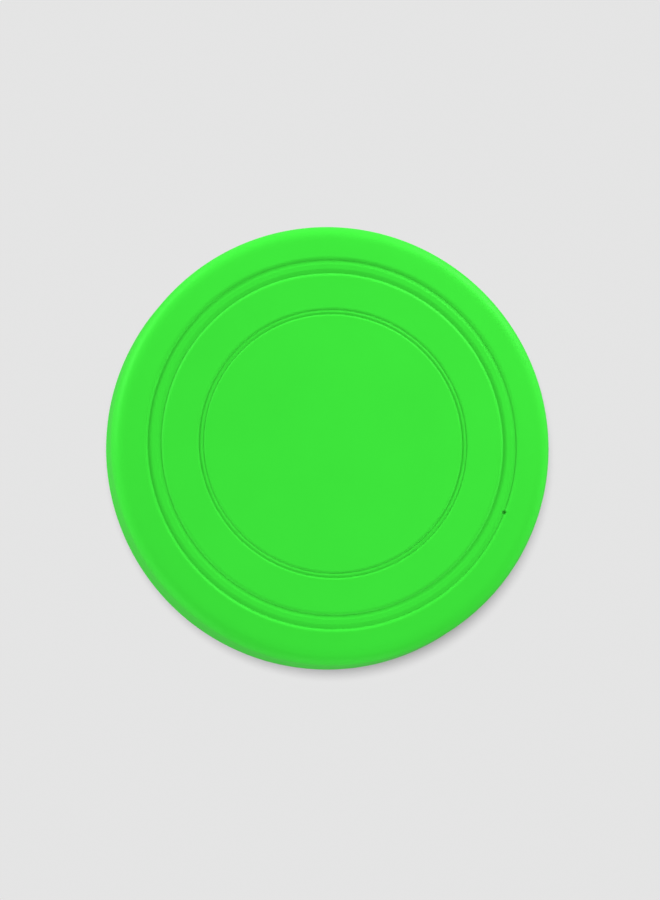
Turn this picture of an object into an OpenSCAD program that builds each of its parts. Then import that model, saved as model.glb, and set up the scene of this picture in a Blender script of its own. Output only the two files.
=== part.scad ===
// Flying disc in soft silicone rubber, moulded in one piece.
// It lies on its lip, with the flight plate on top and the origin under its centre.

/* [Disc] */
// Diameter across the rim
disc_d = 180; // [150:5:230]
// Height from the lip to the top of the flight plate
disc_h = 26; // [22:1:34]
// Thickness of the flight plate
plate_t = 2.4; // [2:0.1:3.4]

/* [Rim] */
// Thickness of the rim's wall
wall_t = 3; // [2.4:0.1:4]
// Lean of the rim's wall from upright, in degrees
wall_lean = 4; // [1:0.5:6]
// Radius of the shoulder between the wall and the band on top
shoulder_r = 6; // [5:0.5:9]
// Fall of the band between the outermost groove and the shoulder, in degrees
band_fall = 4; // [1:0.5:6]

/* [Lip] */
// How far the bead of the lip stands in from the wall
bead_in = 1.8; // [1:0.1:3]
// Height of the bead
bead_h = 5; // [4:0.5:8]
// Radius of the lip's lower corners
lip_r = 1.2; // [0.8:0.1:1.4]

/* [Outer ring] */
// Distance from the edge of the disc to the mid-line of the outer pair of grooves
outer_inset = 18.5; // [17:0.5:24]
// Distance between the bottoms of the pair
outer_gap = 5.4; // [4.4:0.2:7]
// Depth of each groove
outer_depth = 1.1; // [0.8:0.1:1.4]
// How far the land between them lies below the plate's top
outer_land = 0.4; // [0.2:0.1:0.6]

/* [Inner ring] */
// Distance from the edge of the disc to the mid-line of the inner pair of grooves
inner_inset = 37; // [34:0.5:45]
// Distance between the bottoms of the pair
inner_gap = 1.9; // [1.8:0.1:3]
// Depth of each groove
inner_depth = 0.75; // [0.5:0.05:0.75]
// How far the land between them lies below the plate's top
inner_land = 0.25; // [0.2:0.05:0.35]

/* [Gate mark] */
// Diameter of the pit that the mould's gate leaves in the outermost groove
gate_d = 1.7; // [1:0.1:2]
// Depth of the pit below the plate's top
gate_depth = 2.2; // [1.5:0.1:2.4]
// Direction of the pit from the centre, in degrees from +X
gate_angle = -21.5; // [-180:0.5:180]

/* [Hidden] */
silicone_green = "#3EE43C";
// Facets of a full turn, and of a rounded corner in the section
turn_fn = 240;
corner_fn = 96;
// How far a cut runs past the surface it opens
past = 1;
// Width of the land between a pair of grooves, as a share of the gap
outer_land_share = 0.35;
inner_land_share = 0.1;
// Slopes, as the width that a side takes for each unit of depth: a groove's steep far side, and the
// sides of the ridge underneath
wall_run = 0.5;
ridge_run = 1;
// Radius of the bead's upper corner, and the slope of its top in degrees
bead_top_r = 1.6;
bead_slope = 45;

edge_r = disc_d / 2;
outer_r = edge_r - outer_inset;
inner_r = edge_r - inner_inset;

// Outward normals of the rim's wall and of the band, in the (radius, height) half-plane
wall_n = [cos(wall_lean), sin(wall_lean)];
band_n = [sin(band_fall), cos(band_fall)];
// Radius where the level plate ends and the band starts to fall: the outermost groove's edge
band_start_r = outer_r + outer_gap / 2 + outer_depth * wall_run;
// Centre of the lip's outer corner, which makes the disc's widest ring
lip_c = [edge_r - lip_r, lip_r];
// Distances of the wall's and the band's outer faces from the origin, along their normals
wall_at = lip_c * wall_n + lip_r;
band_at = [band_start_r, disc_h] * band_n;

// Centre of a corner of radius r that touches the wall's face sunk by in_w and the band's sunk by in_b
function corner_c(r, in_w, in_b) =
    let (w = wall_at - in_w - r, b = band_at - in_b - r, turn = cos(wall_lean + band_fall))
    [(w * band_n[1] - b * wall_n[1]) / turn, (b * wall_n[0] - w * band_n[0]) / turn];

// Radius of the wall's face, sunk by in_w, at height z
function wall_r(in_w, z) = (wall_at - in_w - z * wall_n[1]) / wall_n[0];

module dot(centre, r) translate(centre) circle(r, $fn = corner_fn);

// Filled outline of the disc's outside: level top, falling band, shoulder, leaning wall, rounded lip
module outside() {
    c = corner_c(shoulder_r, 0, 0);
    dot(c, shoulder_r);
    dot(lip_c, lip_r);
    polygon([
        [0, 0], [lip_c[0], 0], lip_c, lip_c + lip_r * wall_n,
        c + shoulder_r * wall_n, c, c + shoulder_r * band_n,
        [band_start_r, disc_h], [0, disc_h]
    ]);
}

// Filled outline of the hollow underneath, parallel to the outside at the skin's thickness
module hollow() {
    r = shoulder_r - wall_t;
    c = corner_c(r, wall_t, plate_t);
    dot(c, r);
    polygon([
        [0, -past], [wall_r(wall_t, -past), -past],
        c + r * wall_n, c, c + r * band_n,
        [band_start_r - plate_t * tan(band_fall / 2), disc_h - plate_t], [0, disc_h - plate_t]
    ]);
}

// Bead inside the lip: rounded corners below and above, and a top that slopes up to the wall
module bead() {
    in_r = wall_r(wall_t, 0) - bead_in;
    low_c = [in_r + lip_r, lip_r];
    top_c = [in_r + bead_top_r, bead_h - bead_top_r];
    slope_n = [-sin(bead_slope), cos(bead_slope)];
    top_p = top_c + bead_top_r * slope_n;
    mid_r = wall_r(wall_t / 2, bead_h);
    dot(low_c, lip_r);
    dot(top_c, bead_top_r);
    polygon([
        [low_c[0], 0], [lip_c[0], 0], lip_c, [mid_r, bead_h],
        [mid_r, top_p[1] + (mid_r - top_p[0]) * tan(bead_slope)], top_p,
        top_c, [in_r, top_c[1]], [in_r, low_c[1]], low_c
    ]);
}

// Section of a pair of V-shaped grooves, cut down from the disc's top, with a lower land between them.
// A groove's far side is steep, and its side towards the land is gentler.
module groove_pair(mid_r, gap, depth, land, land_share) {
    bottom = disc_h - depth;
    half = gap / 2;
    reach = half + (depth + past) * wall_run;
    land_half = half * land_share;
    polygon([
        [mid_r - reach, disc_h + past], [mid_r - half, bottom], [mid_r - land_half, disc_h - land],
        [mid_r + land_half, disc_h - land], [mid_r + half, bottom], [mid_r + reach, disc_h + past]
    ]);
}

// Section of the ridge under a pair of grooves, which keeps the skin's thickness there
module ridge(mid_r, gap, depth) {
    under = disc_h - plate_t;
    foot = (gap + plate_t) / 2;
    reach = foot + (depth + past) * ridge_run;
    polygon([
        [mid_r - reach, under + past], [mid_r - foot, under - depth],
        [mid_r + foot, under - depth], [mid_r + reach, under + past]
    ]);
}

module disc_section() {
    difference() {
        union() {
            difference() {
                outside();
                hollow();
            }
            bead();
            ridge(outer_r, outer_gap, outer_depth);
            ridge(inner_r, inner_gap, inner_depth);
        }
        groove_pair(outer_r, outer_gap, outer_depth, outer_land, outer_land_share);
        groove_pair(inner_r, inner_gap, inner_depth, inner_land, inner_land_share);
    }
}

// The whole moulding, with the gate's pit in the outermost groove
module disc() {
    color(silicone_green)
    difference() {
        rotate_extrude($fn = turn_fn) disc_section();
        rotate(gate_angle)
            translate([outer_r + outer_gap / 2, 0, disc_h - gate_depth])
                cylinder(h = gate_depth + past, d = gate_d, $fn = corner_fn);
    }
}

disc();
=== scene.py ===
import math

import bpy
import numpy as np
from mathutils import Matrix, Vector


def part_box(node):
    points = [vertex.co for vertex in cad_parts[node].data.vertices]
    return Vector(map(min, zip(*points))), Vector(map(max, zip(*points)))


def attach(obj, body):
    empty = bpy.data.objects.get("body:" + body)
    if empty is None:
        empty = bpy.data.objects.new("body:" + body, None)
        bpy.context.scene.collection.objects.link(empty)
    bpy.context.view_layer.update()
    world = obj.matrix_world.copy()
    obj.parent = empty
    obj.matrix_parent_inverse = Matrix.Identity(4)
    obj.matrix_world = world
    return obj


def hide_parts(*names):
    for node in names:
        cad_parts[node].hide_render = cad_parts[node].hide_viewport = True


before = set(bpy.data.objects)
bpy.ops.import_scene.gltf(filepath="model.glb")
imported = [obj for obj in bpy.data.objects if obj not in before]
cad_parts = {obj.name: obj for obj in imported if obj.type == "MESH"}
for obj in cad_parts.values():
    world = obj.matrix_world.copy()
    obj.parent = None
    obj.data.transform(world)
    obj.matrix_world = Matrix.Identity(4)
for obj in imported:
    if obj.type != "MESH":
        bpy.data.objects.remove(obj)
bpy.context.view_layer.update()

# A flying disc moulded in one piece from soft green silicone rubber, lying on its lip on a pale floor.
# The disc is one turned skin: its section is a chain of straight runs and rounded corners, carried
# round the axis, with the mould's own small marks worked into it. Lengths are metres in the scene,
# and sizes written in millimetres are multiplied by MM.

MM = 0.001

# ---------------------------------------------------------------- sizes of the moulding, millimetres

disc_low, disc_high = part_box("disc")
EDGE_R = (disc_high[0] - disc_low[0]) / 2 / MM
DISC_H = disc_high[2] / MM

PLATE_T = 2.4
WALL_T = 3.0
WALL_LEAN = math.radians(4)
SHOULDER_R = 6.0
BAND_FALL = math.radians(4)
LIP_R = 1.2

BEAD_IN = 1.8
BEAD_H = 5.0
BEAD_TOP_R = 1.6
BEAD_FOOT_R = 2.0
BEAD_SLOPE = math.radians(45)

OUTER_R = EDGE_R - 18.5  # each ring is a pair of V-shaped grooves with a lower land between them
OUTER_GAP = 5.4
OUTER_DEPTH = 1.1
OUTER_LAND = 0.4
INNER_R = EDGE_R - 37
INNER_GAP = 1.9
INNER_DEPTH = 0.75
INNER_LAND = 0.25
OUTER_LAND_SHARE = 0.35  # width of the land as a share of the gap
INNER_LAND_SHARE = 0.1
WALL_RUN = 0.5          # width that a groove's steep far side takes for each unit of depth
RIDGE_RUN = 1.0         # and for the sides of the ridge underneath
OUTER_ROUND = (1.4, 0.25, 0.8)  # roundings of a groove's edge, its bottom and the land's edge
INNER_ROUND = (0.8, 0.15, 0.3)
RIDGE_ROUND = 1.0

GATE_D = 1.7
GATE_DEPTH = 2.2
GATE_ANGLE = math.radians(-21.5)
GATE_R = OUTER_R + OUTER_GAP / 2
GATE_COLLAR = 0.08      # height of the small raised collar that stays round the pit

FLASH_H = 0.15          # height of the trimmed line where the mould's two halves met
FLASH_W = 0.35
FLASH_REACH = 1.0       # how near to the widest ring, in radius, the line can be
WAVE_H = 0.12           # height of the larger of the soft plate's two slow waves

# How finely the skin is cut
BEND_STEP = math.radians(12)    # turn along a rounded corner of the section
TURN_STEP = math.radians(1.4)   # turn round the axis
LONGEST_STEP = 3.0
GATE_STEP = 0.13
SPACING_GROWTH = 0.4            # how fast steps grow with the distance from a fine place
ARC_POINTS = 24                 # points of an arc before the section is cut
SPACING_SAMPLES = 40000


# ---------------------------------------------------------------- section of the moulding

def meet(normal_a, at_a, normal_b, at_b):
    """Where two lines cross, each given as the points whose product with its normal equals a number."""
    return np.linalg.solve(np.array([normal_a, normal_b]), np.array([at_a, at_b]))


def groove_pair(mid_r, gap, depth, land, land_share, rounds):
    """Corners (radius, height, rounding) of two V-shaped grooves in the top, with a lower land between them.

    A groove's far side takes WALL_RUN of width for each unit of depth. Its side towards the land is
    gentler, and runs to the edge of the land, whose width is land_share of the gap.
    """
    edge_round, bottom_round, land_round = rounds
    reach = gap / 2 + depth * WALL_RUN
    land_half = gap / 2 * land_share
    inner_side = [
        (mid_r - reach, DISC_H, edge_round),
        (mid_r - gap / 2, DISC_H - depth, bottom_round),
        (mid_r - land_half, DISC_H - land, land_round),
    ]
    return inner_side + [(2 * mid_r - r, z, rounding) for r, z, rounding in reversed(inner_side)]


def ridge(mid_r, gap, depth):
    """Corners of the ridge under a pair of grooves, which keeps the skin's thickness there."""
    under = DISC_H - PLATE_T
    foot = (gap + PLATE_T) / 2
    reach = foot + depth * RIDGE_RUN
    return [
        (mid_r - reach, under, RIDGE_ROUND),
        (mid_r - foot, under - depth, RIDGE_ROUND),
        (mid_r + foot, under - depth, RIDGE_ROUND),
        (mid_r + reach, under, RIDGE_ROUND),
    ]


def section_corners():
    """Corners (radius, height, rounding) of the skin's section.

    They run from the top's centre outwards, down the rim, round the lip and back under the plate. A
    rim's corner is where two faces cross, each a line given by its normal and its distance.
    """
    wall_n = np.array([math.cos(WALL_LEAN), math.sin(WALL_LEAN)])
    band_n = np.array([math.sin(BAND_FALL), math.cos(BAND_FALL)])
    slope_n = np.array([-math.sin(BEAD_SLOPE), math.cos(BEAD_SLOPE)])
    floor_n = np.array([0.0, 1.0])
    upright_n = np.array([1.0, 0.0])

    inner_pair = groove_pair(INNER_R, INNER_GAP, INNER_DEPTH, INNER_LAND, INNER_LAND_SHARE, INNER_ROUND)
    outer_pair = groove_pair(OUTER_R, OUTER_GAP, OUTER_DEPTH, OUTER_LAND, OUTER_LAND_SHARE, OUTER_ROUND)
    inner_ridge = ridge(INNER_R, INNER_GAP, INNER_DEPTH)
    outer_ridge = ridge(OUTER_R, OUTER_GAP, OUTER_DEPTH)

    wall_at = np.dot([EDGE_R - LIP_R, LIP_R], wall_n) + LIP_R
    band_at = np.dot(outer_pair[-1][:2], band_n)
    wall_in_at = wall_at - WALL_T
    band_in_at = band_at - PLATE_T
    bead_r = wall_in_at / wall_n[0] - BEAD_IN
    slope_at = np.dot([bead_r + BEAD_TOP_R, BEAD_H - BEAD_TOP_R], slope_n) + BEAD_TOP_R

    # the outer ridge ends on the falling band's underside, not on the level one
    root_r = outer_ridge[-1][0]
    root_z = (band_in_at - root_r * band_n[0]) / band_n[1]
    outer_ridge[-1] = (root_r, root_z, RIDGE_ROUND)

    rim = [
        (*meet(band_n, band_at, wall_n, wall_at), SHOULDER_R),
        (*meet(wall_n, wall_at, floor_n, 0), LIP_R),
        (bead_r, 0, LIP_R),
        (*meet(upright_n, bead_r, slope_n, slope_at), BEAD_TOP_R),
        (*meet(slope_n, slope_at, wall_n, wall_in_at), BEAD_FOOT_R),
        (*meet(wall_n, wall_in_at, band_n, band_in_at), SHOULDER_R - WALL_T),
    ]
    return np.array([
        (0, DISC_H, 0), *inner_pair, *outer_pair, *rim,
        *reversed(outer_ridge), *reversed(inner_ridge), (0, DISC_H - PLATE_T, 0),
    ])


def rounded_line(corners):
    """The section as a fine chain of points, with each corner rounded by an arc, and the arcs' stretches.

    An arc of radius q touches both sides at q / tan(half) from the corner, where half is half the
    angle between the sides. Its centre lies q / sin(half) along the line that halves them, and it sets
    off along the first side. Returns the points, and for each arc its first and last point's number
    and its radius.
    """
    points = [corners[0, :2]]
    arcs = []
    for before, corner, after in zip(corners[:-2], corners[1:-1], corners[2:]):
        p, radius = corner[:2], corner[2]
        back = (before[:2] - p) / np.linalg.norm(before[:2] - p)
        on = (after[:2] - p) / np.linalg.norm(after[:2] - p)
        half = math.acos(np.dot(back, on)) / 2
        middle = (back + on) / np.linalg.norm(back + on)
        centre = p + middle * radius / math.sin(half)
        start = p + back * radius / math.tan(half) - centre
        turn = np.linspace(0, math.pi - 2 * half, ARC_POINTS)[:, None]
        arcs.append((len(points), len(points) + ARC_POINTS - 1, radius))
        points.extend(centre + start * np.cos(turn) - back * radius * np.sin(turn))
    points.append(corners[-1, :2])
    return np.array(points), arcs


def spread(length, places):
    """Steps along a length that are short at chosen places and grow with the distance from them.

    places holds (start, end, step). The wanted spacing at a point is the least of step plus
    SPACING_GROWTH times the distance from that place, over all places. The points lie at equal counts
    of one over the spacing, summed along the length.
    """
    s = np.linspace(0, length, SPACING_SAMPLES)
    start, end, step = np.array(places).T[:, :, None]
    away = np.maximum(np.maximum(start - s, s - end), 0)
    spacing = (step + SPACING_GROWTH * away).min(axis=0)
    count = np.concatenate([[0], np.cumsum((1 / spacing[1:] + 1 / spacing[:-1]) / 2 * np.diff(s))])
    return np.interp(np.linspace(0, count[-1], int(math.ceil(count[-1])) + 1), count, s)


def section():
    """The skin's section: radius and height arrays, from the top's centre round to the underside's."""
    fine, arcs = rounded_line(section_corners())
    travel = np.concatenate([[0], np.cumsum(np.linalg.norm(np.diff(fine, axis=0), axis=1))])
    places = [(travel[a], travel[b], radius * BEND_STEP) for a, b, radius in arcs]
    places.append((0, travel[-1], LONGEST_STEP))
    gate_at = travel[np.argmin(np.hypot(fine[:, 0] - GATE_R, fine[:, 1] - DISC_H + OUTER_DEPTH))]
    places.append((gate_at - GATE_D / 2, gate_at + GATE_D / 2, GATE_STEP))
    s = spread(travel[-1], places)
    return np.interp(s, travel, fine[:, 0]), np.interp(s, travel, fine[:, 1])


def turn_angles():
    """Angles round the axis, closer together at the gate mark, as one full turn without its end."""
    gate_half = GATE_D / 2 / GATE_R
    places = [(math.pi - gate_half, math.pi + gate_half, GATE_STEP / GATE_R)]
    places.append((0, math.tau, TURN_STEP))
    return spread(math.tau, places)[:-1] - math.pi + GATE_ANGLE


# ---------------------------------------------------------------- marks that moulding leaves

def smooth(x, low, high):
    """0 below low, 1 above high, and 3t^2 - 2t^3 between them."""
    t = np.clip((x - low) / (high - low), 0, 1)
    return t * t * (3 - 2 * t)


def gate_pit(r, angle, z):
    """How far the top sinks at the gate: a steep round pit with a low collar, as a function of distance."""
    away = np.hypot(r * np.cos(angle - GATE_ANGLE) - GATE_R, r * np.sin(angle - GATE_ANGLE))
    share = away / (GATE_D / 2)
    floor = DISC_H - GATE_DEPTH
    pit = (1 - smooth(share, 0.7, 1.05)) * np.maximum(z - floor, 0)
    collar = GATE_COLLAR * np.exp(-((share - 1.25) / 0.2) ** 2)
    return np.where(z > floor, collar - pit, 0)


def flash_line(angle, z):
    """Height of the parting line: a narrow bell across the widest ring, uneven round the disc."""
    uneven = 0.7 + 0.2 * np.sin(5 * angle + 1) + 0.1 * np.sin(23 * angle) * np.sin(7 * angle + 2)
    return FLASH_H * uneven * np.exp(-((z - LIP_R) / (FLASH_W / 2)) ** 2)


def plate_wave(r, angle):
    """How the soft plate strays from flat: two slow waves round the axis, none at the centre and the rim."""
    share = r / OUTER_R
    fade = share ** 2 * (1 - smooth(share, 0.95, 1.15))
    return WAVE_H * fade * (np.cos(2 * angle + 0.6) + 0.6 * np.cos(3 * angle - 1.1))


def turned_skin():
    """Vertices and faces of the disc: the section carried round the axis, with one point at each pole.

    A section point (r, z) at angle a lies at (r cos a, r sin a, z). The marks move it up or outwards.
    """
    line_r, line_z = section()
    angle = turn_angles()[None, :]
    r, z = line_r[1:-1, None], line_z[1:-1, None]
    is_outside = np.arange(1, len(line_r) - 1)[:, None] < np.argmax(line_r)
    is_rim = np.abs(r - EDGE_R) < FLASH_REACH

    rise = np.where(is_outside, gate_pit(r, angle, z), 0) + plate_wave(r, angle)
    reach = r + np.where(is_rim, flash_line(angle, z), 0)
    ring = np.stack([reach * np.cos(angle), reach * np.sin(angle), z + rise], axis=-1)
    poles = [[0, 0, line_z[0]], [0, 0, line_z[-1]]]
    verts = np.concatenate([poles, ring.reshape(-1, 3)]) * MM

    rows, turns = ring.shape[:2]
    number = 2 + np.arange(rows * turns).reshape(rows, turns)
    beside = np.roll(number, -1, axis=1)
    quads = np.stack([number[:-1], number[1:], beside[1:], beside[:-1]], axis=-1).reshape(-1, 4)
    top_fan = np.stack([np.zeros(turns, int), number[0], beside[0]], axis=-1)
    under_fan = np.stack([np.ones(turns, int), beside[-1], number[-1]], axis=-1)
    return verts, [*quads.tolist(), *top_fan.tolist(), *under_fan.tolist()]


# ---------------------------------------------------------------- materials

def linear(hex_code):
    """An sRGB hex colour as linear RGBA."""
    channels = [int(hex_code[i:i + 2], 16) / 255 for i in (1, 3, 5)]
    return [c / 12.92 if c <= 0.04045 else ((c + 0.055) / 1.055) ** 2.4 for c in channels] + [1.0]


def per_mm(size):
    """Noise scale whose features are about size millimetres wide, on Object coordinates in metres."""
    return 1 / (size * MM)


def add_node(tree, kind, settings=None, links=None):
    """Adds a node, sets its properties or input sockets, and links inputs from other nodes' outputs."""
    node = tree.nodes.new(kind)
    for name, value in (settings or {}).items():
        if hasattr(node, name):
            setattr(node, name, value)
        else:
            node.inputs[name].default_value = value
    for name, source in (links or {}).items():
        tree.links.new(source, node.inputs[name])
    return node


def new_material(name):
    """A new material whose node tree is empty, and that tree."""
    material = bpy.data.materials.new(name)
    material.use_nodes = True
    material.node_tree.nodes.clear()
    return material, material.node_tree


def moulded_silicone():
    """Compression-moulded silicone rubber, coloured right through.

    The steel mould's sparked finish prints a fine dull grain, so light spreads into a broad soft sheen
    and no sharp reflection shows. The roughness stands for most of it. The bump adds a trace of grain,
    coarser than the real one and still too faint to see from the camera. The pigment is very even,
    with only a faint cloudiness. The sheen is tinted green, which real rubber's isn't, so that the
    softboxes don't whiten the rim.
    """
    material, tree = new_material("green_moulded_silicone")
    place = add_node(tree, "ShaderNodeTexCoord").outputs["Object"]

    cloud = add_node(tree, "ShaderNodeTexNoise", {"Scale": per_mm(28), "Detail": 3.0}, {"Vector": place})
    colour = add_node(
        tree, "ShaderNodeMix",
        {"data_type": "RGBA"},
        {"Factor": cloud.outputs["Fac"]})
    colour.inputs["A"].default_value = linear("#3FE63C")
    colour.inputs["B"].default_value = linear("#41EC3E")

    polish = add_node(tree, "ShaderNodeTexNoise", {"Scale": per_mm(9), "Detail": 2.0}, {"Vector": place})
    roughness = add_node(
        tree, "ShaderNodeMapRange",
        {"From Min": 0.3, "From Max": 0.7, "To Min": 0.38, "To Max": 0.46},
        {"Value": polish.outputs["Fac"]})

    grain = add_node(tree, "ShaderNodeTexNoise", {"Scale": per_mm(0.6), "Detail": 2.0}, {"Vector": place})
    bump = add_node(
        tree, "ShaderNodeBump",
        {"Strength": 0.15, "Distance": 0.05 * MM},
        {"Height": grain.outputs["Fac"]})

    shader = add_node(
        tree, "ShaderNodeBsdfPrincipled",
        {"IOR": 1.41, "Specular IOR Level": 0.5, "Specular Tint": linear("#40FF3E")},
        {
            "Base Color": colour.outputs["Result"],
            "Roughness": roughness.outputs["Result"],
            "Normal": bump.outputs["Normal"],
        })
    add_node(tree, "ShaderNodeOutputMaterial", None, {"Surface": shader.outputs["BSDF"]})
    return material


def pale_paper():
    """Seamless background paper: a matt pale grey sheet with a barely visible fibre."""
    material, tree = new_material("pale_background_paper")
    place = add_node(tree, "ShaderNodeTexCoord").outputs["Object"]
    fibre = add_node(tree, "ShaderNodeTexNoise", {"Scale": per_mm(2), "Detail": 2.0}, {"Vector": place})
    bump = add_node(
        tree, "ShaderNodeBump",
        {"Strength": 0.02, "Distance": 0.02 * MM},
        {"Height": fibre.outputs["Fac"]})
    shader = add_node(
        tree, "ShaderNodeBsdfPrincipled",
        {"Base Color": linear("#E5E5E5"), "Roughness": 0.9, "Specular IOR Level": 0.1},
        {"Normal": bump.outputs["Normal"]})
    add_node(tree, "ShaderNodeOutputMaterial", None, {"Surface": shader.outputs["BSDF"]})
    return material


# ---------------------------------------------------------------- the disc

def make_piece(name, verts, faces, material):
    """A smooth-shaded mesh object at the origin."""
    mesh = bpy.data.meshes.new(name)
    mesh.from_pydata(verts.tolist(), [], faces)
    mesh.polygons.foreach_set("use_smooth", np.ones(len(mesh.polygons), bool))
    mesh.materials.append(material)
    mesh.update()
    piece = bpy.data.objects.new(name, mesh)
    bpy.context.scene.collection.objects.link(piece)
    return piece


def make_disc():
    """The moulded disc, in place of the plain CAD one."""
    verts, faces = turned_skin()
    disc = make_piece("moulded_disc", verts, faces, moulded_silicone())
    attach(disc, "root")
    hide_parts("disc")
    disc.visible_diffuse = False    # the paper takes no green from the disc, and stays neutral beside it
    return disc


# ---------------------------------------------------------------- camera, floor and light

VIEW_TILT = math.radians(9.1)      # how far the view leans from straight down
VIEW_SIDE = math.radians(221.3)    # the side that the camera leans to, from +X
VIEW_DISTANCE = 0.9
FRAME_HALF = 0.1823                # half the height of the view, at the disc's distance
AIM_BEFORE = 0.0016                # how far in front of the disc's centre the view is aimed
AIM = Vector((0, -AIM_BEFORE, DISC_H / 2 * MM))

FLOOR_REACH = 8.0
FLOOR_SIDES = 96
ROOM_LIGHT = 0.15
SOFTBOX_WIDTH = 0.6
SOFTBOX_DISTANCE = 1.2
LAMP_STRENGTH = 2.68
LAMP_SPREAD = math.radians(27)     # how wide the overhead lamp looks from the floor
LAMP_LEAN = math.radians(7.5)      # how far it leans from straight down
LAMP_TURN = math.radians(52)       # how far round its leaning side is turned from +Y


def make_camera():
    """A short telephoto lens above the disc, leaning to its front left, with +Y at the top of the view."""
    camera = bpy.data.cameras.new("camera")
    camera.sensor_width = 36
    camera.lens = camera.sensor_width / 2 * VIEW_DISTANCE / FRAME_HALF
    camera_object = bpy.data.objects.new("camera", camera)
    lean = Vector((math.cos(VIEW_SIDE), math.sin(VIEW_SIDE), 0)) * math.sin(VIEW_TILT)
    back = lean + Vector((0, 0, math.cos(VIEW_TILT)))
    right = Vector((0, 1, 0)).cross(back).normalized()
    up = back.cross(right)
    turned = Matrix((right, up, back)).transposed().to_4x4()
    camera_object.matrix_world = Matrix.Translation(AIM + back * VIEW_DISTANCE) @ turned
    bpy.context.scene.collection.objects.link(camera_object)
    bpy.context.scene.camera = camera_object


def make_floor():
    """A round sheet of background paper that reaches far past the disc."""
    angle = np.linspace(0, math.tau, FLOOR_SIDES, endpoint=False)
    rim = FLOOR_REACH * np.stack([np.cos(angle), np.sin(angle), np.zeros(FLOOR_SIDES)], axis=-1)
    floor = make_piece("floor", rim, [list(range(FLOOR_SIDES))], pale_paper())
    floor.visible_glossy = False    # the paper doesn't whiten the disc's sides by its own reflection
    return floor


def fall_only_on(lamp, piece):
    """Keeps a lamp's light on one object, so that the disc and the paper are each lit by their own lamps."""
    lit = bpy.data.collections.new(lamp.name + "_falls_on")
    lit.objects.link(piece)
    lamp.light_linking.receiver_collection = lit


def make_softbox(name, toward, height, strength, only):
    """A square softbox that faces the disc and falls on one object alone.

    toward is its compass direction from +X and height its angle up, both in degrees. strength is the
    light that it lays on a surface facing it at the disc, in W/m2: its power divided by pi and by the
    distance squared.
    """
    light = bpy.data.lights.new(name, "AREA")
    light.size = SOFTBOX_WIDTH
    light.energy = strength * math.pi * SOFTBOX_DISTANCE ** 2
    box = bpy.data.objects.new(name, light)
    a, e = math.radians(toward), math.radians(height)
    out = Vector((math.cos(a) * math.cos(e), math.sin(a) * math.cos(e), math.sin(e)))
    box.location = out * SOFTBOX_DISTANCE
    box.rotation_euler = out.to_track_quat("Z", "Y").to_euler()
    bpy.context.scene.collection.objects.link(box)
    fall_only_on(box, only)


def make_floor_lamp(floor):
    """A far overhead lamp for the paper alone, which lays the disc's small shadow at its front right."""
    light = bpy.data.lights.new("overhead", "SUN")
    light.angle = LAMP_SPREAD
    light.energy = LAMP_STRENGTH
    lamp = bpy.data.objects.new("overhead", light)
    lamp.rotation_euler = (-LAMP_LEAN, 0, LAMP_TURN)
    bpy.context.scene.collection.objects.link(lamp)
    fall_only_on(lamp, floor)


def make_room():
    """A pale room: dim as a source of light, and as pale as the floor where the camera looks into it."""
    world = bpy.data.worlds.new("room")
    world.use_nodes = True
    tree = world.node_tree
    tree.nodes.clear()
    seen = add_node(tree, "ShaderNodeLightPath")
    dim = add_node(tree, "ShaderNodeBackground", {"Color": linear("#FFFFFF"), "Strength": ROOM_LIGHT})
    pale = add_node(tree, "ShaderNodeBackground", {"Color": linear("#E5E5E5"), "Strength": 1.0})
    room = add_node(tree, "ShaderNodeMixShader", None, {"Fac": seen.outputs["Is Camera Ray"]})
    tree.links.new(dim.outputs["Background"], room.inputs[1])
    tree.links.new(pale.outputs["Background"], room.inputs[2])
    add_node(tree, "ShaderNodeOutputWorld", None, {"Surface": room.outputs["Shader"]})
    bpy.context.scene.world = world


def make_light(disc, floor):
    """Soft studio light: bright from the back, weaker from the front, and a lamp overhead for the floor."""
    make_room()
    make_floor_lamp(floor)
    make_softbox("back_right_low", 47, 10, 1.6, disc)
    make_softbox("back_right_middle", 50, 34, 1.3, disc)
    make_softbox("back_right_high", 45, 66, 0.4, disc)
    make_softbox("back_left_low", 132, 9, 1.15, disc)
    make_softbox("left_low", 158, 9, 1.8, disc)
    make_softbox("front_high", 285, 48, 1.0, disc)
    make_softbox("front_low", 275, 7, 0.45, disc)
    make_softbox("front_left_low", 225, 7, 0.6, disc)


make_camera()
make_light(make_disc(), make_floor())
# The plain transform keeps the silicone's full green, which a film-like one would wash out.
bpy.context.scene.view_settings.view_transform = "Standard"
